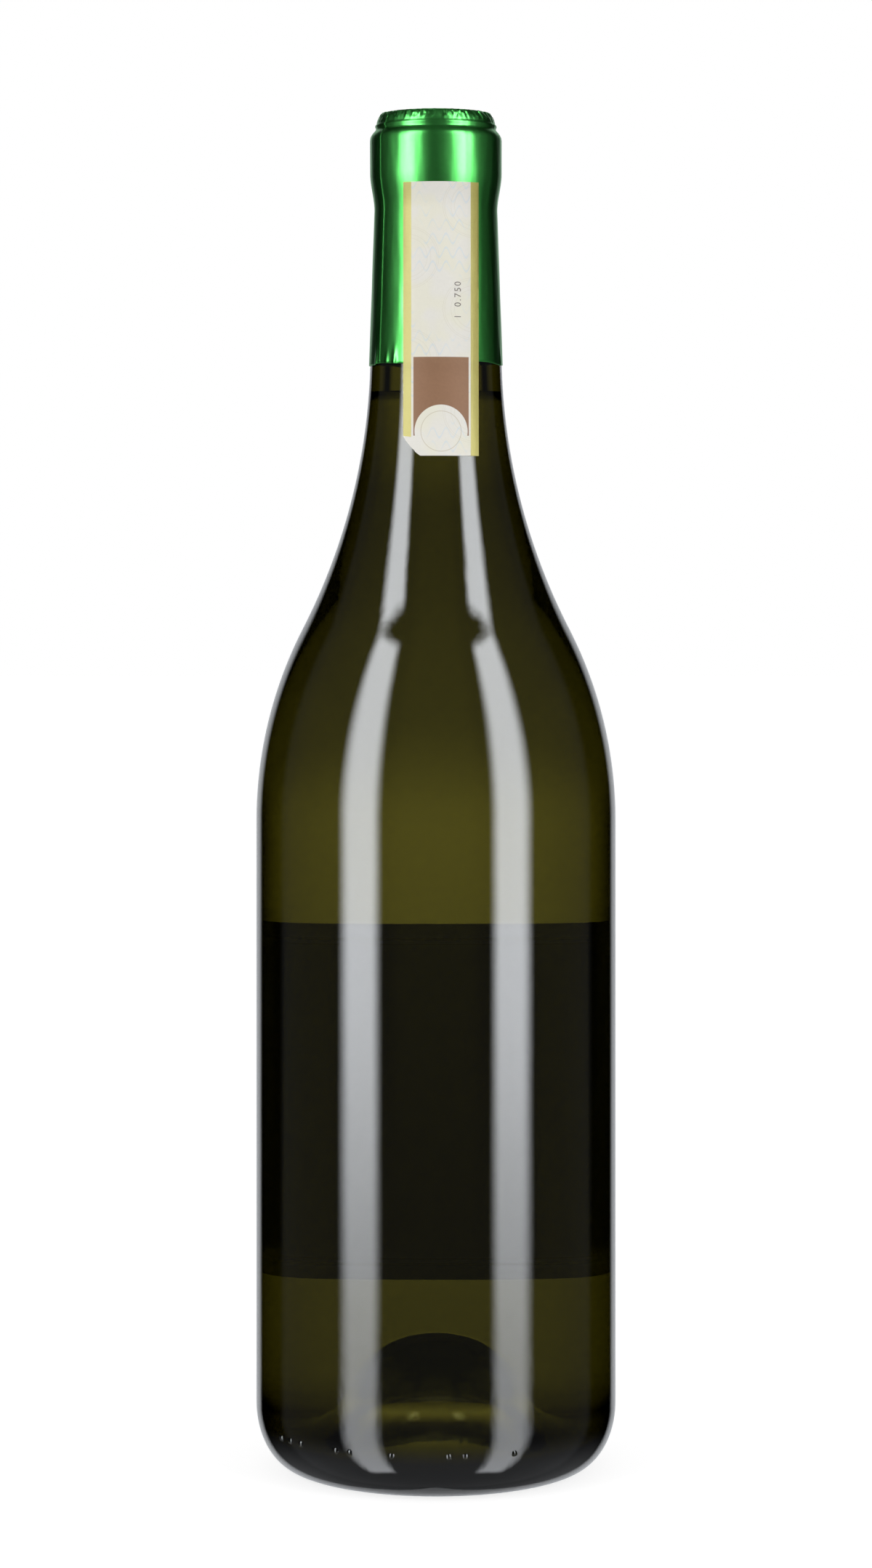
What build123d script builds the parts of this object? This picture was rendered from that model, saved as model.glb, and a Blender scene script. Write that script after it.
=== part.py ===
"""A shouldered 0.75 l wine bottle, filled and dressed: one glass bottle, the wine in it, a foil
capsule over the mouth and neck, a paper seal strip over the capsule's edge, and a front label.

Millimetres, +Z up. The origin is the centre of the base, on the surface the bottle stands on.
The seal strip faces -Y and the front label faces +Y.
"""

import os
from math import degrees

from build123d import *

# Overall sizes of the glass
BODY_DIAMETER = 81.4
BOTTLE_HEIGHT = 306.0

# Outside, measured up from the base
HEEL_WIDTH = 9.6  # how far the rounded heel turns in from the body
HEEL_HEIGHT = 14.6
BEARING_WIDTH = 3.6  # the flat ring that the bottle stands on
SHOULDER_START = 146.0  # top of the straight wall
SHOULDER_TANGENT = 22.9  # distance from there to where the shoulder's two tangents cross
PUNT_HEIGHT = 25.0
PUNT_TANGENT = 12.0
PUNT_EDGE_LEAN = 35.0  # degrees below level at which the punt meets the bearing ring

# Outside, measured down from the mouth
NECK_LENGTH = 58.0
NECK_FOOT_DIAMETER = 29.9
NECK_TOP_DIAMETER = 27.3
LIP_LENGTH = 20.6
LIP_SLOPE = 6.8  # height of the slope under the lip ring
LIP_DIAMETER = 29.4
CROWN_HEIGHT = 7.2  # rounded top of the lip ring
CROWN_DIAMETER = 24.0

# Inside
WALL = 4.0
FLOOR_THICKNESS = 7.6  # glass between the bearing ring and the wine
PUNT_GLASS = 6.8  # glass over the top of the punt
INNER_HEEL_HEIGHT = 11.4
BORE_DIAMETER = 18.6
NECK_FOOT_BORE = 20.6

# Wine
FILL_DEPTH = 64.8  # mouth to wine level
WINE_CLEARANCE = 0.05

# Foil capsule
CAPSULE_LENGTH = 57.2
FOIL_THICKNESS = 0.15
FOIL_CLEARANCE = 0.05

# Paper seal strip
STRIP_WIDTH = 16.9
STRIP_OFFSET = 1.1  # its middle lies this far to +X of the axis
STRIP_TOP = 16.6  # below the mouth
STRIP_LENGTH = 61.3
STRIP_CORNER_WIDTH = 3.7  # torn lower corner
STRIP_CORNER_HEIGHT = 4.6
PAPER_THICKNESS = 0.12
PAPER_CLEARANCE = 0.05

# Front label
LABEL_WIDTH = 96.0  # along the glass
LABEL_HEIGHT = 82.4
LABEL_BOTTOM = 38.2  # above the base

# Worked out from the sizes above
BODY_RADIUS = BODY_DIAMETER / 2
NECK_FOOT = BOTTLE_HEIGHT - NECK_LENGTH
LIP_FOOT = BOTTLE_HEIGHT - LIP_LENGTH
BEARING_OUTER = BODY_RADIUS - HEEL_WIDTH
BEARING_INNER = BEARING_OUTER - BEARING_WIDTH
GUTTER_RADIUS = (BEARING_OUTER + BEARING_INNER) / 2  # lowest ring of the floor inside
FILL_LEVEL = BOTTLE_HEIGHT - FILL_DEPTH
CAPSULE_FOOT = BOTTLE_HEIGHT - CAPSULE_LENGTH
STRIP_GAP = FOIL_CLEARANCE + FOIL_THICKNESS + PAPER_CLEARANCE


def double_bend(start, start_way, end, end_way, first_tangent):
    """Two arcs that run smoothly from one point and direction to another.

    first_tangent is the length of the first arc's tangent at the start; the second follows.
    """
    start, end = Vector(*start), Vector(*end)
    start_way, end_way = Vector(*start_way).normalized(), Vector(*end_way).normalized()
    across = end - start
    spread = across.dot(end_way) + first_tangent * (1 - start_way.dot(end_way))
    second_tangent = (across.dot(across) / 2 - first_tangent * across.dot(start_way)) / spread
    first_corner = start + start_way * first_tangent
    second_corner = end - end_way * second_tangent
    share = first_tangent / (first_tangent + second_tangent)
    middle = first_corner + (second_corner - first_corner) * share
    TangentArc(start, middle, tangent=start_way)
    TangentArc(middle, end, tangent=second_corner - first_corner)


def outer_line(gap=0.0):
    """The outside from the top of the heel to the middle of the mouth, moved out by a gap."""
    body = BODY_RADIUS + gap
    neck_foot = (NECK_FOOT_DIAMETER / 2 + gap, NECK_FOOT)
    neck_top = (NECK_TOP_DIAMETER / 2 + gap, LIP_FOOT)
    lip = LIP_DIAMETER / 2 + gap
    crown_foot = (lip, BOTTLE_HEIGHT - CROWN_HEIGHT)
    crown = (CROWN_DIAMETER / 2 + gap, BOTTLE_HEIGHT + gap)
    neck_way = Vector(*neck_top) - Vector(*neck_foot)
    Line((body, HEEL_HEIGHT), (body, SHOULDER_START))
    double_bend((body, SHOULDER_START), (0, 1), neck_foot, neck_way, SHOULDER_TANGENT)
    Polyline(neck_foot, neck_top, (lip, LIP_FOOT + LIP_SLOPE), crown_foot)
    TangentArc(crown_foot, crown, tangent=(0, 1))
    Line(crown, (0, BOTTLE_HEIGHT + gap))


def base_line():
    """The underside: punt, flat bearing ring and rounded heel."""
    lean = Vector(1, 0).rotate(Axis.Z, -PUNT_EDGE_LEAN)
    double_bend((0, PUNT_HEIGHT), (1, 0), (BEARING_INNER, 0), lean, PUNT_TANGENT)
    Line((BEARING_INNER, 0), (BEARING_OUTER, 0))
    EllipticalCenterArc((BEARING_OUTER, HEEL_HEIGHT), HEEL_WIDTH, HEEL_HEIGHT, 270, arc_size=90)


def inner_line(gap=0.0):
    """The whole outline of the cavity, from its floor to the open mouth, moved in by a gap."""
    floor = FLOOR_THICKNESS + gap
    wall = BODY_RADIUS - WALL - gap
    heel_top = floor + INNER_HEEL_HEIGHT
    neck_foot = (NECK_FOOT_BORE / 2 - gap, NECK_FOOT)
    mouth = (BORE_DIAMETER / 2 - gap, BOTTLE_HEIGHT)
    neck_way = Vector(*mouth) - Vector(*neck_foot)
    punt_top = (0, PUNT_HEIGHT + PUNT_GLASS + gap)
    heel_width = wall - GUTTER_RADIUS
    double_bend(punt_top, (1, 0), (GUTTER_RADIUS, floor), (1, 0), PUNT_TANGENT)
    EllipticalCenterArc((GUTTER_RADIUS, heel_top), heel_width, INNER_HEEL_HEIGHT, 270, arc_size=90)
    Line((wall, heel_top), (wall, SHOULDER_START))
    double_bend((wall, SHOULDER_START), (0, 1), neck_foot, neck_way, SHOULDER_TANGENT)
    Polyline(neck_foot, mouth, (0, BOTTLE_HEIGHT), punt_top)


def upper_outline(gap):
    """The whole outline of the bottle above its heel, moved out by a gap.

    The difference of two of these turns into a skin that hugs the glass.
    """
    outer_line(gap)
    Polyline((0, BOTTLE_HEIGHT + gap), (0, HEEL_HEIGHT), (BODY_RADIUS + gap, HEEL_HEIGHT))


# The glass: a revolved wall with the cavity taken out, open at the mouth
with BuildPart() as bottle:
    with BuildSketch(Plane.XZ):
        with BuildLine():
            base_line()
            outer_line()
            Line((0, BOTTLE_HEIGHT), (0, PUNT_HEIGHT))
        make_face()
        with BuildLine():
            inner_line()
        make_face(mode=Mode.SUBTRACT)
    revolve(axis=Axis.Z)

# The wine: the cavity up to the level that it is filled to
with BuildPart() as wine:
    with BuildSketch(Plane.XZ):
        with BuildLine():
            inner_line(WINE_CLEARANCE)
        make_face()
    revolve(axis=Axis.Z)
    split(bisect_by=Plane.XY.offset(FILL_LEVEL), keep=Keep.BOTTOM)

# The foil capsule: a closed thimble over the mouth, the lip ring and the neck
with BuildPart() as capsule:
    with BuildSketch(Plane.XZ):
        with BuildLine():
            upper_outline(FOIL_CLEARANCE + FOIL_THICKNESS)
        make_face()
        with BuildLine():
            upper_outline(FOIL_CLEARANCE)
        make_face(mode=Mode.SUBTRACT)
    revolve(axis=Axis.Z)
    split(bisect_by=Plane.XY.offset(CAPSULE_FOOT), keep=Keep.TOP)

# The seal strip: a straight ribbon that hugs the neck, seen square on as a rectangle with one
# lower corner torn off
with BuildPart() as seal_strip:
    with BuildSketch(Plane.XZ):
        with BuildLine():
            upper_outline(STRIP_GAP + PAPER_THICKNESS)
        make_face()
        with BuildLine():
            upper_outline(STRIP_GAP)
        make_face(mode=Mode.SUBTRACT)
    revolve(axis=Axis.Z)
    with BuildSketch(Plane.XZ):
        left = STRIP_OFFSET - STRIP_WIDTH / 2
        right = STRIP_OFFSET + STRIP_WIDTH / 2
        top = BOTTLE_HEIGHT - STRIP_TOP
        bottom = top - STRIP_LENGTH
        with BuildLine():
            Polyline(
                (left, top),
                (left, bottom + STRIP_CORNER_HEIGHT),
                (left + STRIP_CORNER_WIDTH, bottom),
                (right, bottom),
                (right, top),
                close=True,
            )
        make_face()
    extrude(amount=BODY_DIAMETER, mode=Mode.INTERSECT)

# The front label: a sheet on the straight wall, opposite the seal strip
label_turn = degrees(LABEL_WIDTH / BODY_RADIUS)
with BuildPart() as front_label:
    with BuildSketch(Plane.XZ.rotated((0, 0, 90 - label_turn / 2))):
        with Locations((BODY_RADIUS + PAPER_CLEARANCE, LABEL_BOTTOM)):
            Rectangle(PAPER_THICKNESS, LABEL_HEIGHT, align=(Align.MIN, Align.MIN))
    revolve(axis=Axis.Z, revolution_arc=label_turn)

os.makedirs("parts", exist_ok=True)
pieces = {
    "bottle": bottle,
    "wine": wine,
    "capsule": capsule,
    "seal_strip": seal_strip,
    "front_label": front_label,
}
for label, piece in pieces.items():
    piece.part.label = label
    export_step(piece.part, f"parts/{label}.step")
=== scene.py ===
"""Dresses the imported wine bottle: olive glass, pale wine, green foil, seal strip and label.

Lengths are metres in the scene and millimetres in the profiles, +Z up. The seal strip faces -Y.
"""

import cmath
import math

import bmesh
import bpy
import numpy as np
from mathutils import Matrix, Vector, noise


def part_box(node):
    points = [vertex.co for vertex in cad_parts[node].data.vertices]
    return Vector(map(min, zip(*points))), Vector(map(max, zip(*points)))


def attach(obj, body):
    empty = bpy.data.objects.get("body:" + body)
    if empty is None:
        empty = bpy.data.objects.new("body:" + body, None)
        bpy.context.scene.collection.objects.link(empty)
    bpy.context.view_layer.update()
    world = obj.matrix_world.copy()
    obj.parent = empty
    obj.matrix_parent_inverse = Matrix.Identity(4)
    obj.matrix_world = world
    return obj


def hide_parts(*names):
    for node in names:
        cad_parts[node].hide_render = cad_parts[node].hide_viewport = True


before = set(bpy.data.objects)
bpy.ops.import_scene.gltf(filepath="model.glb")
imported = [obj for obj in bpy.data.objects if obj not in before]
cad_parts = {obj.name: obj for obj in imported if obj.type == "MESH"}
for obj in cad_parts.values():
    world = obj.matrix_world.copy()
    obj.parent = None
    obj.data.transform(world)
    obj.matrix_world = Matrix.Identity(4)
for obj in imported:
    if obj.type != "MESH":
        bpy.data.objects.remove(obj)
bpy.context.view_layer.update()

bl_info = {
    "name": "Wine Bottle Finish",
    "version": (1, 0, 0),
    "blender": (4, 5, 0),
    "location": "3D View > Sidebar > Bottle",
    "description": "Builds the glass, wine, foil, seal strip, label and stage of a wine bottle",
    "category": "Object",
}

MM = 0.001
BODY = "root"


def cad_size(node):
    """Lowest and highest corner of a CAD node in millimetres."""
    low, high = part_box(node)
    return low / MM, high / MM


_, glass_high = cad_size("bottle")
_, wine_high = cad_size("wine")
foil_low, _ = cad_size("capsule")
strip_low, strip_high = cad_size("seal_strip")
label_low, label_high = cad_size("front_label")

HEIGHT = glass_high.z
RADIUS = glass_high.x
FILL = wine_high.z
FOIL_FOOT = foil_low.z


# Settings ---------------------------------------------------------------------------------------


class BottleGlassSettings(bpy.types.PropertyGroup):
    wall: bpy.props.FloatProperty(
        name="Wall", description="Thickness of the body's glass", default=4.0 * MM, unit="LENGTH"
    )
    tint: bpy.props.FloatVectorProperty(
        name="Tint", description="Colour that the glass lets through", subtype="COLOR",
        size=3, min=0, max=1, default=(0.475, 0.455, 0.03),
    )
    depth: bpy.props.FloatProperty(
        name="Depth", description="How strongly a metre of glass takes light away", default=590.0
    )
    ripple: bpy.props.FloatProperty(
        name="Ripple", description="Strength of the moulded surface's ripple", default=0.06, min=0
    )


class BottleDressSettings(bpy.types.PropertyGroup):
    foil: bpy.props.FloatVectorProperty(
        name="Foil", description="Colour of the metallic foil", subtype="COLOR",
        size=3, min=0, max=1, default=(0.08, 0.43, 0.09),
    )
    gold: bpy.props.FloatVectorProperty(
        name="Gold", description="Colour of the printed bands", subtype="COLOR",
        size=3, min=0, max=1, default=(0.39, 0.345, 0.09),
    )
    paper: bpy.props.FloatVectorProperty(
        name="Paper", description="Colour of the seal strip", subtype="COLOR",
        size=3, min=0, max=1, default=(0.82, 0.80, 0.74),
    )
    field: bpy.props.FloatVectorProperty(
        name="Field", description="Colour of the strip's brown field", subtype="COLOR",
        size=3, min=0, max=1, default=(0.27, 0.145, 0.08),
    )
    label: bpy.props.FloatVectorProperty(
        name="Label", description="Colour of the front label", subtype="COLOR",
        size=3, min=0, max=1, default=(0.74, 0.69, 0.57),
    )


# Shader arithmetic ------------------------------------------------------------------------------


class Value:
    """A number on its way through a node tree, open to arithmetic."""

    def __init__(self, shader, socket):
        self.shader = shader
        self.socket = socket

    def __add__(self, other):
        return self.shader.math("ADD", self, other)

    def __sub__(self, other):
        return self.shader.math("SUBTRACT", self, other)

    def __mul__(self, other):
        return self.shader.math("MULTIPLY", self, other)

    def __truediv__(self, other):
        return self.shader.math("DIVIDE", self, other)

    def __rsub__(self, other):
        return self.shader.math("SUBTRACT", other, self)

    def __rtruediv__(self, other):
        return self.shader.math("DIVIDE", other, self)

    __radd__ = __add__
    __rmul__ = __mul__


class Shader:
    """A node tree, with one method for any node and a few for sums."""

    def __init__(self, tree):
        self.tree = tree
        tree.nodes.clear()

    def add(self, kind, settings=None, inputs=None):
        node = self.tree.nodes.new(kind)
        for name, setting in (settings or {}).items():
            setattr(node, name, setting)
        for name, value in (inputs or {}).items():
            if isinstance(value, Value):
                self.tree.links.new(value.socket, node.inputs[name])
            elif isinstance(value, bpy.types.NodeSocket):
                self.tree.links.new(value, node.inputs[name])
            else:
                node.inputs[name].default_value = value
        return node

    def math(self, operation, *values):
        node = self.add("ShaderNodeMath", {"operation": operation}, dict(enumerate(values)))
        return Value(self, node.outputs[0])

    def smooth(self, value, low, high):
        """Rises softly from 0 at low to 1 at high."""
        node = self.add(
            "ShaderNodeMapRange", {"interpolation_type": "SMOOTHSTEP"},
            {"Value": value, "From Min": low, "From Max": high},
        )
        return Value(self, node.outputs["Result"])

    def between(self, value, low, high, edge):
        """1 from low to high and 0 beyond, with soft edges."""
        return self.smooth(value, low - edge, low + edge) * (1 - self.smooth(value, high - edge, high + edge))

    def mix(self, factor, first, second):
        """Mixes two colours; the result is a socket."""
        node = self.add("ShaderNodeMix", {"data_type": "RGBA"}, {0: factor, 6: first, 7: second})
        return node.outputs[2]

    def place(self):
        """The point's own x, y and z in metres."""
        coordinates = self.add("ShaderNodeTexCoord")
        parts = self.add("ShaderNodeSeparateXYZ", None, {0: coordinates.outputs["Object"]})
        return [Value(self, socket) for socket in parts.outputs]

    def grain(self, scale, detail=3.0, rough=0.5, stretch=(1.0, 1.0, 1.0)):
        """Noise whose cells are about 1 / scale metres, stretched along the axes."""
        coordinates = self.add("ShaderNodeTexCoord")
        mapping = self.add(
            "ShaderNodeMapping", None, {"Vector": coordinates.outputs["Object"], "Scale": stretch}
        )
        node = self.add(
            "ShaderNodeTexNoise", None,
            {"Vector": mapping.outputs[0], "Scale": scale, "Detail": detail, "Roughness": rough},
        )
        return Value(self, node.outputs["Fac"])

    def bump(self, height, strength, distance):
        node = self.add(
            "ShaderNodeBump", None, {"Height": height, "Strength": strength, "Distance": distance}
        )
        return node.outputs[0]

    def finish(self, surface, volume=None):
        inputs = {"Surface": surface}
        if volume is not None:
            inputs["Volume"] = volume
        self.add("ShaderNodeOutputMaterial", None, inputs)


def rgba(colour, share=1.0):
    """The colour with an alpha of 1, darkened to a share of its brightness."""
    return (*(share * c for c in colour), 1.0)


def new_shader(name):
    material = bpy.data.materials.new(name)
    material.use_nodes = True
    return material, Shader(material.node_tree)


# Materials --------------------------------------------------------------------------------------


def glass_material(settings):
    """Dark olive bottle glass: clear, with its colour in its depth and a faint moulded ripple."""
    material, shader = new_shader("olive_glass")
    z = shader.place()[2]
    fine = shader.grain(260.0, 2.0, 0.5, (1.0, 1.0, 0.6))
    broad = shader.grain(60.0, 2.0, 0.5, (1.0, 1.0, 0.35))
    heel = 1 - shader.smooth(z, 0.012, 0.05)
    waist = shader.between(z, 0.185, 0.215, 0.012)
    height = broad * 0.6 + fine * (heel * 0.5 + waist * 0.3 + 0.08)
    bump = shader.bump(height, settings.ripple, 0.001)
    surface = shader.add(
        "ShaderNodeBsdfPrincipled", None,
        {
            "Base Color": (1, 1, 1, 1), "Roughness": 0.0, "IOR": 1.52,
            "Transmission Weight": 1.0, "Normal": bump,
        },
    )
    volume = shader.add(
        "ShaderNodeVolumeAbsorption", None, {"Color": rgba(settings.tint), "Density": settings.depth}
    )
    shader.finish(surface.outputs[0], volume.outputs[0])
    return material


def wine_material():
    """Clear pale straw wine."""
    material, shader = new_shader("pale_wine")
    surface = shader.add(
        "ShaderNodeBsdfPrincipled", None,
        {"Base Color": (1, 1, 1, 1), "Roughness": 0.0, "IOR": 1.345, "Transmission Weight": 1.0},
    )
    volume = shader.add(
        "ShaderNodeVolumeAbsorption", None, {"Color": (0.86, 0.82, 0.40, 1), "Density": 8.0}
    )
    shader.finish(surface.outputs[0], volume.outputs[0])
    return material


def foil_material(settings):
    """Satin green metal foil with a faint brushed grain."""
    material, shader = new_shader("green_foil")
    fleck = shader.grain(900.0, 2.0)
    brushed = shader.grain(500.0, 2.0, 0.5, (1.0, 1.0, 0.08))
    colour = shader.mix(fleck, rgba(settings.foil, 0.86), rgba(settings.foil))
    surface = shader.add(
        "ShaderNodeBsdfPrincipled", None,
        {
            "Base Color": colour, "Metallic": 1.0, "Roughness": brushed * 0.08 + 0.27,
            "Normal": shader.bump(fleck, 0.05, 0.0002),
        },
    )
    shader.finish(surface.outputs[0])
    return material


def paper_fibre(shader):
    return shader.grain(1500.0, 4.0, 0.65)


GOLD_BAND = 1.8  # width of the band on each side of the strip
PRINT_EDGE = 0.06 * MM  # softness of the print's edges


def away_from(shader, x, z, middle):
    """Distance of a point of the strip from a place on it, as seen from the front."""
    away_x = x - middle[0] * MM
    away_z = z - middle[1] * MM
    return shader.math("SQRT", away_x * away_x + away_z * away_z)


def ring_lines(shader, distance, radii, width):
    """Thin circles of these radii, as one mask."""
    lines = None
    for radius in radii:
        line = shader.between(distance, (radius - width) * MM, (radius + width) * MM, 0.05 * MM)
        lines = line if lines is None else shader.math("MAXIMUM", lines, line)
    return lines


def print_guilloche(shader, x, z, colour):
    """Faint waves and rosettes over the colour, with a yellowish wash."""
    rosettes = None
    for step in range(5):
        side = strip_low.x + 1.0 if step % 2 else strip_high.x - 1.0
        distance = away_from(shader, x, z, (side, strip_low.z + 9.9 + 11.5 * step))
        rings = ring_lines(shader, distance, (4.4, 5.2, 6.6, 7.0), 0.05)
        rosettes = rings if rosettes is None else shader.math("MAXIMUM", rosettes, rings)
    pitch = 3.1 * MM
    wave = z * (2 * math.pi / pitch) + shader.math("SINE", x * 2100.0) * 2.2
    waves = shader.smooth(shader.math("SINE", wave), 0.72, 0.98)
    waves = waves * shader.smooth(shader.grain(110.0, 1.0), 0.45, 0.6)
    wash = shader.smooth(shader.grain(140.0, 1.0), 0.42, 0.62)
    colour = shader.mix(wash * 0.45, colour, (0.80, 0.78, 0.60, 1))
    colour = shader.mix(waves * 0.45, colour, (0.60, 0.70, 0.78, 1))
    return shader.mix(rosettes * 0.35, colour, (0.62, 0.58, 0.46, 1))


def print_field(shader, x, z, colour, brown):
    """The brown field low on the strip, over the colour, with an arch cut out round a thin ring."""
    left, right = strip_low.x + GOLD_BAND + 0.5, strip_high.x - GOLD_BAND - 0.45
    low, high = strip_low.z + 4.5, strip_low.z + 22.1
    distance = away_from(shader, x, z, ((left + right) / 2, low + 1.0))
    arch = (right - left) / 2 - 0.25
    inside = shader.between(x, left * MM, right * MM, PRINT_EDGE)
    inside = inside * shader.between(z, low * MM, high * MM, PRINT_EDGE)
    inside = inside * shader.smooth(distance, arch * MM - PRINT_EDGE, arch * MM + PRINT_EDGE)
    colour = shader.mix(inside, colour, brown)
    ring = shader.between(distance, (arch - 1.5) * MM, (arch - 1.35) * MM, PRINT_EDGE)
    return shader.mix(ring * 0.5, colour, (0.45, 0.38, 0.22, 1))


def gold_bands(shader, x, z):
    """1 on the two side bands; the left one ends above the torn corner."""
    middle = shader.between(
        x, (strip_low.x + GOLD_BAND) * MM, (strip_high.x - GOLD_BAND) * MM, PRINT_EDGE
    )
    beside_tear = 1 - shader.smooth(x, (strip_low.x + 3.0) * MM, (strip_low.x + 3.1) * MM)
    tear = strip_low.z + 3.5
    below_tear = 1 - shader.smooth(z + x * 0.12, tear * MM, (tear + 0.1) * MM)
    return (1 - middle) * (1 - beside_tear * below_tear)


def strip_material(settings):
    """Printed paper: gold bands, faint guilloche curves and a brown field with an arch."""
    material, shader = new_shader("seal_paper")
    x, _, z = shader.place()
    fibre = paper_fibre(shader)
    colour = shader.mix(fibre, rgba(settings.paper, 0.93), rgba(settings.paper))
    colour = print_guilloche(shader, x, z, colour)
    brown = shader.mix(fibre, rgba(settings.field, 0.8), rgba(settings.field))
    colour = print_field(shader, x, z, colour, brown)
    bands = gold_bands(shader, x, z)
    gold = shader.mix(fibre, rgba(settings.gold, 0.84), rgba(settings.gold))
    colour = shader.mix(bands, colour, gold)
    surface = shader.add(
        "ShaderNodeBsdfPrincipled", None,
        {
            "Base Color": colour, "Roughness": 0.62 - bands * 0.2, "Metallic": bands * 0.15,
            "Normal": shader.bump(fibre, 0.12, 0.0002),
        },
    )
    shader.finish(surface.outputs[0])
    return material


def label_material(settings):
    """Laid cream paper with two fine gold frame lines near its edge."""
    material, shader = new_shader("label_paper")
    x, y, z = shader.place()
    along = shader.math("ARCTAN2", x, y) * (RADIUS * MM)
    half = math.asin(label_high.x / RADIUS) * RADIUS
    sideways = half * MM - shader.math("ABSOLUTE", along)
    upright = (label_high.z - label_low.z) / 2 * MM - shader.math(
        "ABSOLUTE", z - (label_high.z + label_low.z) / 2 * MM
    )
    inward = shader.math("MINIMUM", sideways, upright)
    fibre = paper_fibre(shader)
    laid_pitch = 0.9 * MM
    laid = shader.math("SINE", z * (2 * math.pi / laid_pitch))
    colour = shader.mix(fibre, rgba(settings.label, 0.9), rgba(settings.label))
    frame_lines = shader.math(
        "MAXIMUM",
        shader.between(inward, 3.2 * MM, 3.9 * MM, 0.05 * MM),
        shader.between(inward, 4.7 * MM, 4.9 * MM, 0.05 * MM),
    )
    colour = shader.mix(frame_lines, colour, rgba(settings.gold))
    surface = shader.add(
        "ShaderNodeBsdfPrincipled", None,
        {
            "Base Color": colour, "Roughness": 0.7 - frame_lines * 0.35, "Metallic": frame_lines * 0.8,
            "Normal": shader.bump(fibre + laid * 0.25, 0.15, 0.0002),
        },
    )
    shader.finish(surface.outputs[0])
    return material


def ink_material():
    material, shader = new_shader("grey_ink")
    tone = shader.mix(shader.grain(2500.0), (0.16, 0.14, 0.12, 1), (0.28, 0.25, 0.22, 1))
    surface = shader.add("ShaderNodeBsdfPrincipled", None, {"Base Color": tone, "Roughness": 0.7})
    shader.finish(surface.outputs[0])
    return material


# Profiles, as complex numbers: radius + height * 1j, in millimetres -----------------------------


def arc(start, way, end, steps):
    """Points of the circular arc that leaves start along way and reaches end, without start."""
    turn = 2 * cmath.phase((end - start) / way)
    normal = 1j * way
    chord = end - start
    radius = abs(chord) ** 2 / (2 * (chord * normal.conjugate()).real)
    centre = start + radius * normal
    return [centre + (start - centre) * cmath.exp(1j * turn * k / steps) for k in range(1, steps + 1)]


def double_bend(start, way, end, end_way, first_tangent, steps):
    """Points of two arcs that run smoothly from start to end, without start."""
    way, end_way = way / abs(way), end_way / abs(end_way)
    across = end - start
    dot = (way * end_way.conjugate()).real
    spread = (across * end_way.conjugate()).real + first_tangent * (1 - dot)
    along = (across * way.conjugate()).real
    second_tangent = (abs(across) ** 2 / 2 - first_tangent * along) / spread
    first_corner = start + way * first_tangent
    second_corner = end - end_way * second_tangent
    share = first_tangent / (first_tangent + second_tangent)
    middle = first_corner + (second_corner - first_corner) * share
    slope = (second_corner - first_corner) / abs(second_corner - first_corner)
    return arc(start, way, middle, steps) + arc(middle, slope, end, steps)


def line(start, end, steps):
    return [start + (end - start) * k / steps for k in range(1, steps + 1)]


def quarter(centre, width, height, steps):
    """A quarter ellipse from straight below its centre round to its outer side."""
    turns = [math.pi / 2 * k / steps for k in range(1, steps + 1)]
    return [centre + width * math.sin(t) - 1j * height * math.cos(t) for t in turns]


# Outside of the glass; radii and heights above the surface that it stands on
HEEL_WIDTH = 9.6
HEEL_HEIGHT = 14.6
BEARING_WIDTH = 3.6
BEARING = (RADIUS - HEEL_WIDTH - BEARING_WIDTH, RADIUS - HEEL_WIDTH)
SHOULDER = 146.0
SHOULDER_TANGENT = 22.9
PUNT = 25.0
PUNT_TANGENT = 12.0
PUNT_LEAN = 35.0  # degrees below level at which the punt meets the bearing ring
NECK_FOOT = HEIGHT - 58.0
NECK_TOP = HEIGHT - 20.6
NECK_RADII = (14.95, 13.65)
LIP = 14.7
LIP_SLOPE = 6.8
CROWN_FOOT = HEIGHT - 6.6
RIM = (13.35, HEIGHT - 3.9)
MOUTH_EDGE = 11.9

# Inside of the glass
FLOOR = 7.6
PUNT_GLASS = 6.8
INNER_HEEL_HEIGHT = 11.4
NECK_FOOT_BORE = 10.3
MOUTH_BORE = 9.3

# What lies on the glass
FOIL_STAND = 0.2  # from the glass to the outside of the foil
FOIL_SEAM = math.radians(-57.0)
COLLAR_FOOT = NECK_TOP - 1.5  # where the foil starts to widen towards the lip ring
COLLAR_TOP = NECK_TOP + 7.0
TORN_WIDTH = 3.7
TORN_HEIGHT = 4.6


def glass_outside():
    """The bottle's outside from the top of the punt to the mouth."""
    lean = cmath.exp(-1j * math.radians(PUNT_LEAN))
    points = [PUNT * 1j]
    points += double_bend(points[-1], 1 + 0j, BEARING[0] + 0j, lean, PUNT_TANGENT, 10)
    points += line(points[-1], BEARING[1] + 0j, 3)
    points += quarter(BEARING[1] + 1j * HEEL_HEIGHT, HEEL_WIDTH, HEEL_HEIGHT, 22)
    points += line(points[-1], RADIUS + 1j * SHOULDER, 24)
    foot = NECK_RADII[0] + 1j * NECK_FOOT
    top = NECK_RADII[1] + 1j * NECK_TOP
    points += double_bend(points[-1], 1j, foot, top - foot, SHOULDER_TANGENT, 30)
    points += line(foot, top, 8)
    points += line(top, LIP + 1j * (NECK_TOP + LIP_SLOPE), 3)
    points += line(points[-1], LIP + 1j * CROWN_FOOT, 3)
    points += arc(points[-1], 1j, RIM[0] + 1j * RIM[1], 5)
    points += line(points[-1], MOUTH_EDGE + 1j * HEIGHT, 3)
    return points


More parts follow.
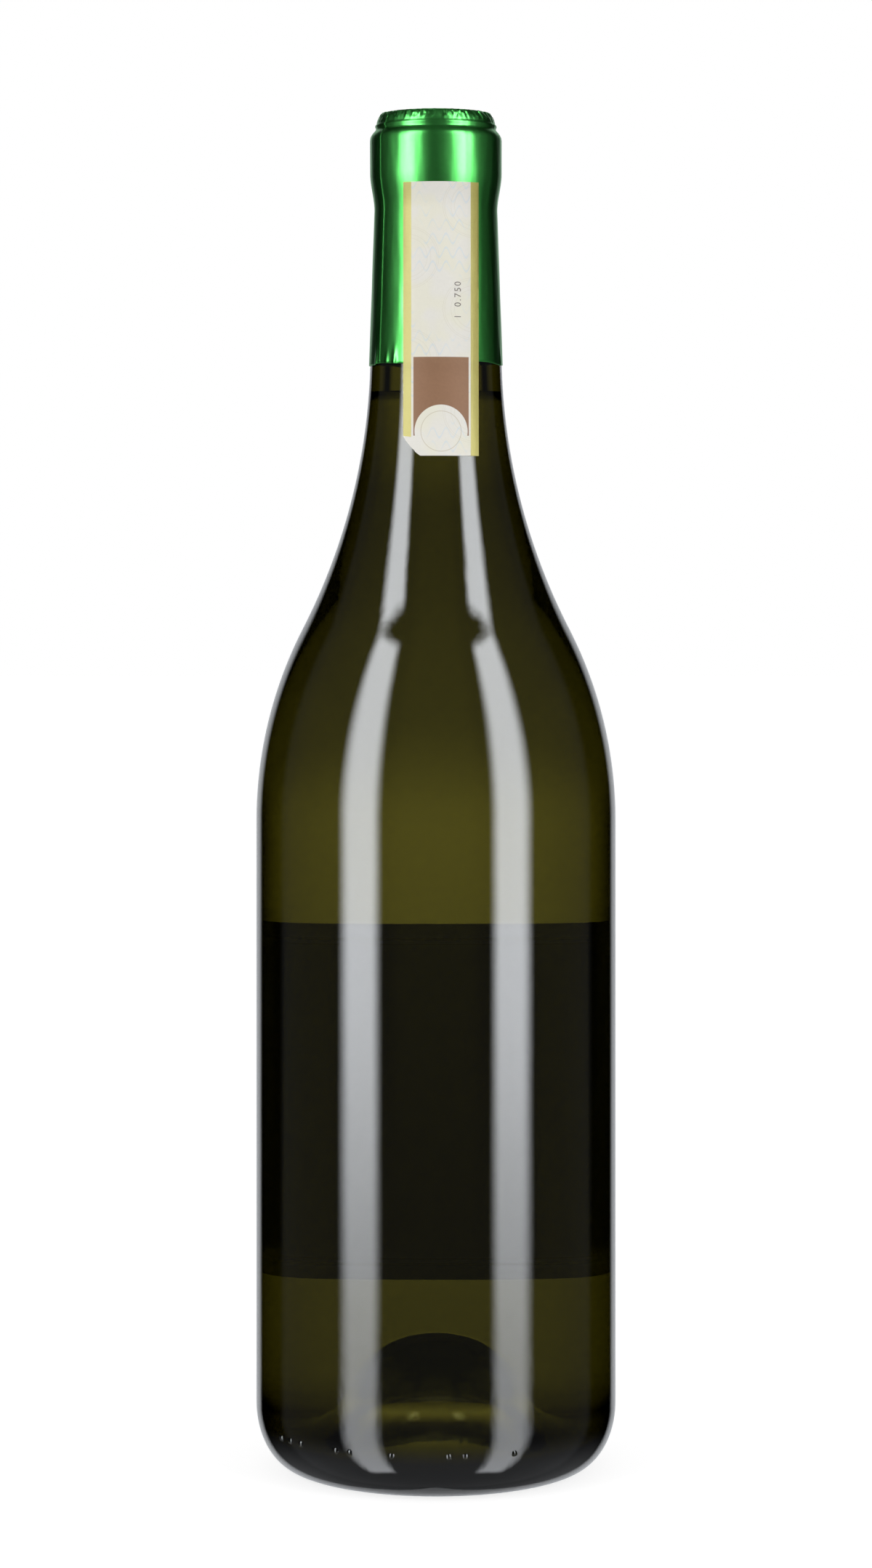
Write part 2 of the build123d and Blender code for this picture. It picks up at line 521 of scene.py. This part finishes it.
def glass_inside(wall, out=0.0):
    """The cavity's wall from the middle of its floor to the mouth, moved into the glass by out."""
    floor = FLOOR - out
    body = RADIUS - wall + out
    gutter = (BEARING[0] + BEARING[1]) / 2
    foot = NECK_FOOT_BORE + out + 1j * NECK_FOOT
    mouth = MOUTH_BORE + out + 1j * HEIGHT
    points = [1j * (PUNT + PUNT_GLASS - out)]
    points += double_bend(points[-1], 1 + 0j, gutter + 1j * floor, 1 + 0j, PUNT_TANGENT, 10)
    heel = gutter + 1j * (floor + INNER_HEEL_HEIGHT)
    points += quarter(heel, body - gutter, INNER_HEEL_HEIGHT, 14)
    points += line(points[-1], body + 1j * SHOULDER, 16)
    points += double_bend(points[-1], 1j, foot, mouth - foot, SHOULDER_TANGENT, 24)
    points += line(foot, mouth, 8)
    return points


def outside_radius(height):
    """Radius of the glass at a height above its heel, in millimetres."""
    upper = [p for p in glass_outside() if p.imag >= HEEL_HEIGHT]
    return float(np.interp(height, [p.imag for p in upper], [p.real for p in upper]))


def ease(share):
    """Rises softly from 0 to 1, and stays there."""
    share = min(1.0, max(0.0, share))
    return share * share * (3 - 2 * share)


# Meshes -----------------------------------------------------------------------------------------


def face_outward(mesh):
    """Turns every face of a closed mesh outward."""
    work = bmesh.new()
    work.from_mesh(mesh)
    bmesh.ops.recalc_face_normals(work, faces=work.faces)
    work.to_mesh(mesh)
    work.free()


def new_object(name, mesh):
    made = bpy.data.objects.new(name, mesh)
    bpy.context.scene.collection.objects.link(made)
    return made


def new_piece(name, vertices, faces, material, slot):
    """A smooth closed piece from vertices in millimetres."""
    mesh = bpy.data.meshes.new(name)
    mesh.from_pydata([Vector(v) * MM for v in vertices], [], faces)
    mesh.materials.append(material)
    piece = new_object(name, mesh)
    face_outward(mesh)
    mesh.shade_smooth()
    return piece


def turned(profile, columns):
    """Vertices and faces of a profile turned round the axis; its ends lie on the axis."""
    vertices, faces, rings = [], [], []
    for point in profile:
        if point.real < 1e-6:
            rings.append([len(vertices)] * columns)
            vertices.append((0.0, 0.0, point.imag))
            continue
        rings.append(list(range(len(vertices), len(vertices) + columns)))
        for k in range(columns):
            turn = 2 * math.pi * k / columns
            vertices.append((point.real * math.cos(turn), point.real * math.sin(turn), point.imag))
    for low, high in zip(rings, rings[1:]):
        for k in range(columns):
            after = (k + 1) % columns
            corners = [low[k], low[after], high[after], high[k]]
            faces.append(list(dict.fromkeys(corners)))
    return vertices, faces


def apply_boolean(piece, cutter, operation):
    """Joins or cuts the piece with the cutter's mesh and removes the cutter."""
    change = piece.modifiers.new(operation.lower(), "BOOLEAN")
    change.operation = operation
    change.object = cutter
    change.solver = "MANIFOLD"
    bpy.context.view_layer.update()
    graph = bpy.context.evaluated_depsgraph_get()
    mesh = bpy.data.meshes.new_from_object(piece.evaluated_get(graph))
    piece.modifiers.clear()
    piece.data = mesh
    bpy.data.objects.remove(cutter)


def heel_beads():
    """Round beads in loose groups on the heel, at the front; a group is a bearing and a count."""
    height = 10.6
    bead, pitch, sunk = 0.95, 5.2, 0.6
    radius = BEARING[1] + HEEL_WIDTH * math.sqrt(1 - (1 - height / HEEL_HEIGHT) ** 2)
    groups = ((-58.0, 3), (-33.0, 2), (-14.0, 1), (4.0, 2), (25.0, 1))
    mesh = bmesh.new()
    for first, count in groups:
        for k in range(count):
            turn = math.radians(first + pitch * k - 90.0)
            ball = bmesh.ops.create_uvsphere(mesh, u_segments=20, v_segments=12, radius=bead)
            reach = radius - sunk
            place = Vector((reach * math.cos(turn), reach * math.sin(turn), height))
            bmesh.ops.translate(mesh, vec=place, verts=ball["verts"])
    for vertex in mesh.verts:
        vertex.co *= MM
    data = bpy.data.meshes.new("beads")
    mesh.to_mesh(data)
    mesh.free()
    return new_object("beads", data)


def ring_grooves():
    """Slanting wedges that cut the bearing ring's grip grooves."""
    count, half_width, depth, below, slant = 92, 0.55, 0.45, -0.3, 1.1
    middle = (BEARING[0] + BEARING[1]) / 2 + 0.8
    reach = 3.4  # half a groove's length
    vertices, faces = [], []
    for k in range(count):
        turn = 2 * math.pi * k / count
        outward = Vector((math.cos(turn), math.sin(turn), 0))
        across = Vector((-math.sin(turn), math.cos(turn), 0))
        base = len(vertices)
        for end in (-1, 1):
            centre = outward * (middle + end * reach) + across * (end * slant)
            for side, rise in ((-half_width, below), (half_width, below), (0.0, depth)):
                vertices.append(centre + across * side + Vector((0, 0, rise)))
        a, b, c, d, e, f = range(base, base + 6)
        faces += [(a, b, c), (d, f, e), (a, d, e, b), (b, e, f, c), (c, f, d, a)]
    mesh = bpy.data.meshes.new("grooves")
    mesh.from_pydata([v * MM for v in vertices], [], faces)
    grooves = new_object("grooves", mesh)
    face_outward(mesh)
    return grooves


def make_glass(settings):
    """The glass bottle, with heel beads and a grooved bearing ring."""
    material = glass_material(settings)
    sharpest_smooth = math.radians(35.0)
    profile = glass_outside() + glass_inside(settings.wall / MM)[::-1]
    piece = new_piece("glass", *turned(profile, 224), material, "bottle_glass")
    apply_boolean(piece, heel_beads(), "UNION")
    apply_boolean(piece, ring_grooves(), "DIFFERENCE")
    piece.data.shade_smooth()
    piece.data.set_sharp_from_angle(angle=sharpest_smooth)
    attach(piece, BODY)
    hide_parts("bottle")


def make_wine(wall):
    """The wine, reaching just into the glass, with its edge drawn up the wall."""
    into_glass, climb, curl, curl_width = 0.25, 1.6, 1.5, 6.0
    side = [p for p in glass_inside(wall, into_glass) if p.imag < FILL + climb]
    neck = side[-1].real
    steps = 12
    top = []
    for k in range(steps + 1):
        inward = curl_width * (k / steps) ** 1.6
        top.append(neck - inward + 1j * (FILL + climb * math.exp(-inward / curl)))
    profile = side + top + [1j * FILL]
    piece = new_piece("wine_body", *turned(profile, 160), wine_material(), "wine")
    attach(piece, BODY)
    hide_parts("wine")


def foil_profile():
    """Rows of the foil's outside from its foot to the middle of the top: height and radius."""
    rows = [(z, outside_radius(z) + FOIL_STAND) for z in np.linspace(FOIL_FOOT, COLLAR_FOOT, 60)]
    start = rows[-1][1]
    lip = LIP + FOIL_STAND
    for k in range(1, 13):
        share = k / 12
        height = COLLAR_FOOT + (COLLAR_TOP - COLLAR_FOOT) * share
        rows.append((height, start + (lip - start) * ease(share)))
    rows += [(z, lip) for z in np.linspace(COLLAR_TOP, HEIGHT - 6.2, 8)[1:]]
    rim_radius, rim_height = RIM[0] + FOIL_STAND, RIM[1]  # the step over the mouth's rim
    rows += [(HEIGHT - 5.5, LIP + 0.1), (HEIGHT - 4.9, LIP - 0.2), (HEIGHT - 4.3, LIP - 0.65)]
    rows += [(HEIGHT - 3.9, LIP - 1.05), (rim_height + 0.4, rim_radius + 0.02)]
    rows += [(rim_height + 0.8, rim_radius + 0.2), (rim_height + 1.1, rim_radius + 0.17)]
    rows += [(rim_height + 1.4, rim_radius - 0.12)]
    for k in range(1, 9):
        share = k / 8
        rows.append((rim_height + 1.4 + 2.45 * share, rim_radius - 0.12 - share**1.7))
    return rows


def foil_relief(turn, height):
    """How far the foil stands out in wrinkles, folds and its seam; turn is 0 at the front."""
    wrinkle, foil = 0.035, 0.10
    relief = wrinkle * noise.noise(Vector((9 * math.cos(turn), 9 * math.sin(turn), height / 9)))
    seam = turn - FOIL_SEAM
    overlap = 0.5  # how far the foil lies double beside its seam, in radians
    if abs(seam) < overlap:
        relief += foil / (1 + math.exp(min(60.0, max(-60.0, seam * 220))))
    relief += foil * math.exp(-((seam / 0.012) ** 2))
    foot = math.exp(-(((height - FOIL_FOOT) / 2.6) ** 2))
    creases = ((-62, 0.30), (-47, 0.22), (-38, 0.34), (74, 0.2), (128, 0.3), (-140, 0.25))
    for place, tall in creases:
        relief += tall * foot * math.exp(-(((turn - math.radians(place)) / 0.035) ** 2))
    crimped = 2.5  # height of the folded band round the top
    crimp = max(0.0, height - (HEIGHT - crimped)) / crimped
    folds = noise.noise(Vector((14 * math.cos(turn), 14 * math.sin(turn), height * 0.8)))
    pleats = abs(math.sin(turn * 17 + 3 * folds))
    return relief + min(crimp, 1.0) * (0.32 * folds - 0.22 * pleats)


def foot_wave(turn):
    """How far the foil's lower edge stands above its lowest line; it is lowest left of the seam."""
    wave = 0.22 * math.sin(3 * turn + 0.6) + 0.12 * math.sin(7 * turn + 1.9)
    step = -0.5 / (1 + math.exp((turn + math.radians(64.0)) * 30)) if turn < 0 else 0.0
    return max(0.0, 0.35 + wave + step)


def make_foil(settings):
    """The foil capsule: a thin closed shell with a crimped top."""
    columns, thickness = 420, 0.12
    rows = foil_profile()
    vertices, faces = [], []
    for layer in range(2):
        order = rows if layer == 0 else rows[::-1]
        for height, radius in order:
            for k in range(columns):
                turn = 2 * math.pi * k / columns
                front = (turn + math.pi) % (2 * math.pi) - math.pi
                lift = foot_wave(front) * max(0.0, 1 - (height - FOIL_FOOT) / 8.0)
                out = foil_relief(front, height)
                if layer == 1:
                    out = -thickness + min(0.0, out)
                reach = radius + out
                vertices.append((reach * math.sin(turn), -reach * math.cos(turn), height + lift))
    count = 2 * len(rows)
    for row in range(count):
        if row == len(rows) - 1:
            continue  # each skin closes at a centre of its own instead
        low, high = row * columns, (row + 1) % count * columns
        for k in range(columns):
            after = (k + 1) % columns
            faces.append((low + k, low + after, high + after, high + k))
    for row, height in ((len(rows) - 1, HEIGHT + thickness), (len(rows), HEIGHT)):
        ring = row * columns
        centre = len(vertices)
        vertices.append((0.0, 0.0, height))
        for k in range(columns):
            faces.append((ring + k, ring + (k + 1) % columns, centre))
    piece = new_piece("foil_capsule", vertices, faces, foil_material(settings), "foil")
    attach(piece, BODY)
    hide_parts("capsule")


def strip_radius(height):
    """The strip lies on the foil and, below the foil's foot, comes down on the glass."""
    on_glass, on_foil, step = 0.10, 0.17, 1.6
    over_foil = min(1.0, max(0.0, (height - FOIL_FOOT + step) / step))
    radius = outside_radius(height)
    if height > COLLAR_FOOT:
        start = outside_radius(COLLAR_FOOT)
        radius = start + (LIP - start) * ease((height - COLLAR_FOOT) / (COLLAR_TOP - COLLAR_FOOT))
    return radius + on_glass + on_foil * over_foil


def strip_left(height):
    """The strip's left edge, cut in where its lower corner is torn off."""
    torn = TORN_HEIGHT - (height - strip_low.z)
    if torn <= 0:
        return strip_low.x
    share = torn / TORN_HEIGHT
    return strip_low.x + TORN_WIDTH * share**1.35 + 0.14 * math.sin(height * 5.1) * share


def make_strip(settings):
    """The paper seal strip with its torn corner and the corner's slight curl."""
    across, along, thickness, curl = 44, 150, 0.09, 0.28
    vertices, faces = [], []
    for layer in range(2):
        for row in range(along + 1):
            height = strip_low.z + (strip_high.z - strip_low.z) * row / along
            left = strip_left(height)
            for k in range(across + 1):
                x = left + (strip_high.x - left) * k / across
                radius = strip_radius(height)
                low = math.exp(-(((height - strip_low.z) / 2.5) ** 2))
                radius += curl * low * max(0.0, 1 - (x - strip_low.x) / 9.0)
                radius += 0.03 * noise.noise(Vector((x * 0.6, 0, height * 0.35)))
                radius -= thickness * layer
                vertices.append((x, -math.sqrt(radius**2 - x * x), height))
    wide = across + 1
    sheet = wide * (along + 1)
    for row in range(along):
        for k in range(across):
            a = row * wide + k
            faces.append((a, a + 1, a + wide + 1, a + wide))
            faces.append((sheet + a, sheet + a + wide, sheet + a + wide + 1, sheet + a + 1))
    rim = list(range(wide))
    rim += [row * wide + across for row in range(1, along + 1)]
    rim += [along * wide + k for k in range(across - 1, -1, -1)]
    rim += [row * wide for row in range(along - 1, 0, -1)]
    for a, b in zip(rim, rim[1:] + rim[:1]):
        faces.append((a, a + sheet, b + sheet, b))
    piece = new_piece("paper_strip", vertices, faces, strip_material(settings), "seal_paper")
    piece.data.set_sharp_from_angle(angle=math.radians(50.0))
    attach(piece, BODY)
    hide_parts("seal_strip")


def make_volume_text():
    """The volume in small grey figures, read upwards along the strip."""
    curve = bpy.data.curves.new("volume_text", "FONT")
    curve.body = "l  0.750"
    curve.size = 2.1 * MM
    curve.space_character = 1.25
    curve.resolution_u = 3
    source = new_object("volume_source", curve)
    bpy.context.view_layer.update()
    graph = bpy.context.evaluated_depsgraph_get()
    mesh = bpy.data.meshes.new_from_object(source.evaluated_get(graph))
    bpy.data.objects.remove(source)
    base_x, base_z, lift = 5.55, strip_low.z + 30.9, 0.055
    for vertex in mesh.vertices:
        x = base_x - vertex.co.y / MM
        z = base_z + vertex.co.x / MM
        radius = strip_radius(z) + lift
        vertex.co = Vector((x, -math.sqrt(radius**2 - x * x), z)) * MM
    mesh.materials.clear()
    mesh.materials.append(ink_material())
    piece = new_object("volume_text", mesh)
    solid = piece.modifiers.new("thickness", "SOLIDIFY")
    solid.thickness = 0.02 * MM
    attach(piece, BODY)


def dress_label(settings):
    """The front label keeps its CAD shape and gets its paper."""
    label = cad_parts["front_label"]
    label.data.materials.clear()
    label.data.materials.append(label_material(settings))


# Stage ------------------------------------------------------------------------------------------


def cosine(angle):
    return math.cos(math.radians(angle))


def make_world():
    """A white studio: backdrop behind, two tall strips in front, dark between them.

    Mirrored light, light seen through the glass and plain light on matt things each have their own
    strength. The angles are measured from the way behind, in front of or beside the bottle.
    """
    world = bpy.data.worlds.new("studio")
    bpy.context.scene.world = world
    world.use_nodes = True
    shader = Shader(world.node_tree)
    way = shader.add("ShaderNodeTexCoord")
    parts = shader.add("ShaderNodeSeparateXYZ", None, {0: way.outputs["Generated"]})
    x, y, z = [Value(shader, socket) for socket in parts.outputs]
    flat = shader.math("SQRT", x * x + y * y) + 0.0001  # never 0, for the division
    back = y / flat
    side = shader.math("ABSOLUTE", x / flat)
    front = 0 - back
    down = 0 - z
    strips = shader.smooth(front, cosine(66), cosine(55))
    strips = strips * (1 - shader.smooth(front, cosine(42), cosine(33)))
    strips = strips * (1 - shader.smooth(z, 0.70, 0.75)) * (1 - shader.smooth(down, 0.80, 0.86))
    fade = 1 - 0.6 * shader.smooth(down, 0.09, 0.22)
    mirror = strips * fade * 12.0 + 0.09 * (1 - shader.smooth(back, 0.35, 0.5))
    mirror = mirror + 0.75 * shader.smooth(back, 0.84, 0.92)
    mirror = mirror + 0.30 * shader.smooth(down, 0.30, 0.75)
    lobes = shader.smooth(back, cosine(52), cosine(30))
    lobes = shader.math("MAXIMUM", lobes, 0.85 * shader.smooth(side, cosine(30), cosine(18)))
    lobes = shader.math("MAXIMUM", lobes, 0.85 * shader.smooth(front, cosine(35), cosine(20)))
    low = shader.smooth(down, 0.03, 0.20)
    table = 0.42 * (1 - shader.smooth(down, 0.50, 0.75))
    through = lobes * (1 - low) + table * low + strips + 0.02
    path = shader.add("ShaderNodeLightPath")
    camera = Value(shader, path.outputs["Is Camera Ray"])
    glossy = Value(shader, path.outputs["Is Glossy Ray"])
    sent = Value(shader, path.outputs["Is Transmission Ray"])
    matt = 0.55
    mirrored = glossy * (1 - sent)
    strength = mirrored * mirror + sent * through + (1 - mirrored) * (1 - sent) * matt
    strength = camera + (1 - camera) * strength
    tone = shader.mix(mirrored, (1, 1, 1, 1), (0.93, 0.96, 1, 1))
    light = shader.add("ShaderNodeBackground", None, {"Color": tone, "Strength": strength})
    shader.add("ShaderNodeOutputWorld", None, {"Surface": light.outputs[0]})


def make_floor():
    """A pale floor that looks white but keeps the bottle's shadow."""
    material, shader = new_shader("pale_floor")
    path = shader.add("ShaderNodeLightPath")
    grain = shader.grain(30.0)
    tone = shader.mix(grain, (0.33, 0.33, 0.33, 1), (0.35, 0.35, 0.35, 1))
    matt = shader.add("ShaderNodeBsdfDiffuse", None, {"Color": tone})
    strength = Value(shader, path.outputs["Is Camera Ray"]) * 0.82
    glow = shader.add("ShaderNodeEmission", None, {"Color": (1, 1, 1, 1), "Strength": strength})
    both = shader.add("ShaderNodeAddShader", None, {0: matt.outputs[0], 1: glow.outputs[0]})
    shader.finish(both.outputs[0])
    half = 6.0
    corners = [(-half, -half, 0), (half, -half, 0), (half, half, 0), (-half, half, 0)]
    mesh = bpy.data.meshes.new("floor")
    mesh.from_pydata(corners, [], [(0, 1, 2, 3)])
    mesh.materials.append(material)
    floor = new_object("floor", mesh)
    floor.location.z = -0.2 * MM
    floor.visible_glossy = False
    floor.visible_transmission = False


def make_lamps():
    """Two soft lamps in front, one on each side, for the paper and the floor's soft shadow."""
    middle = Vector((0, 0, HEIGHT * MM / 2))
    away, high = 1.2, 0.55
    for name, turn in (("lamp_left", -48.0), ("lamp_right", 48.0)):
        data = bpy.data.lights.new(name, "AREA")
        data.shape = "RECTANGLE"
        data.size, data.size_y = 0.5, 1.1
        data.energy = 6.4
        lamp = new_object(name, data)
        angle = math.radians(turn)
        lamp.location = Vector((away * math.sin(angle), -away * math.cos(angle), high))
        lamp.rotation_euler = (middle - lamp.location).to_track_quat("-Z", "Y").to_euler()
        lamp.visible_glossy = False
        lamp.visible_transmission = False
        lamp.visible_camera = False


def make_camera():
    """A level camera in front; the shift keeps the bottle upright and in the frame."""
    data = bpy.data.cameras.new("camera")
    data.sensor_width = 36.0
    data.lens = 90.43
    data.shift_y = -0.1432
    camera = new_object("camera", data)
    camera.location = (0.0, -0.8934, 0.2050)
    camera.rotation_euler = (math.pi / 2, 0, 0)
    bpy.context.scene.camera = camera
    bpy.context.scene.view_settings.view_transform = "Standard"


# Operators and panel ----------------------------------------------------------------------------


class BOTTLE_OT_glass(bpy.types.Operator):
    """Build the glass bottle with its heel beads and grooved base"""

    bl_idname = "bottle.glass"
    bl_label = "Glass"

    def execute(self, context):
        make_glass(context.scene.bottle_glass)
        return {"FINISHED"}


class BOTTLE_OT_wine(bpy.types.Operator):
    """Fill the bottle with wine"""

    bl_idname = "bottle.wine"
    bl_label = "Wine"

    def execute(self, context):
        make_wine(context.scene.bottle_glass.wall / MM)
        return {"FINISHED"}


class BOTTLE_OT_foil(bpy.types.Operator):
    """Build the foil capsule"""

    bl_idname = "bottle.foil"
    bl_label = "Foil capsule"

    def execute(self, context):
        make_foil(context.scene.bottle_dress)
        return {"FINISHED"}


class BOTTLE_OT_strip(bpy.types.Operator):
    """Build the paper seal strip and its volume figures"""

    bl_idname = "bottle.strip"
    bl_label = "Seal strip"

    def execute(self, context):
        make_strip(context.scene.bottle_dress)
        make_volume_text()
        return {"FINISHED"}


class BOTTLE_OT_label(bpy.types.Operator):
    """Give the front label its paper"""

    bl_idname = "bottle.label"
    bl_label = "Front label"

    def execute(self, context):
        dress_label(context.scene.bottle_dress)
        return {"FINISHED"}


class BOTTLE_OT_stage(bpy.types.Operator):
    """Set up the white studio, floor, lamps and camera"""

    bl_idname = "bottle.stage"
    bl_label = "Stage"

    def execute(self, context):
        make_world()
        make_floor()
        make_lamps()
        make_camera()
        return {"FINISHED"}


class BOTTLE_PT_panel(bpy.types.Panel):
    bl_label = "Wine bottle"
    bl_space_type = "VIEW_3D"
    bl_region_type = "UI"
    bl_category = "Bottle"

    def draw(self, context):
        for group in (context.scene.bottle_glass, context.scene.bottle_dress):
            for name in group.__annotations__:
                self.layout.prop(group, name)
        for operator in OPERATORS:
            self.layout.operator(operator.bl_idname)


OPERATORS = (
    BOTTLE_OT_stage,
    BOTTLE_OT_glass,
    BOTTLE_OT_wine,
    BOTTLE_OT_foil,
    BOTTLE_OT_strip,
    BOTTLE_OT_label,
)
CLASSES = (BottleGlassSettings, BottleDressSettings, *OPERATORS, BOTTLE_PT_panel)


def register():
    for cls in CLASSES:
        bpy.utils.register_class(cls)
    bpy.types.Scene.bottle_glass = bpy.props.PointerProperty(type=BottleGlassSettings)
    bpy.types.Scene.bottle_dress = bpy.props.PointerProperty(type=BottleDressSettings)


def unregister():
    del bpy.types.Scene.bottle_glass
    del bpy.types.Scene.bottle_dress
    for cls in reversed(CLASSES):
        bpy.utils.unregister_class(cls)


def main():
    register()
    bpy.ops.bottle.stage()
    bpy.ops.bottle.glass()
    bpy.ops.bottle.wine()
    bpy.ops.bottle.foil()
    bpy.ops.bottle.strip()
    bpy.ops.bottle.label()
    bpy.context.view_layer.update()


if __name__ == "__main__":
    main()
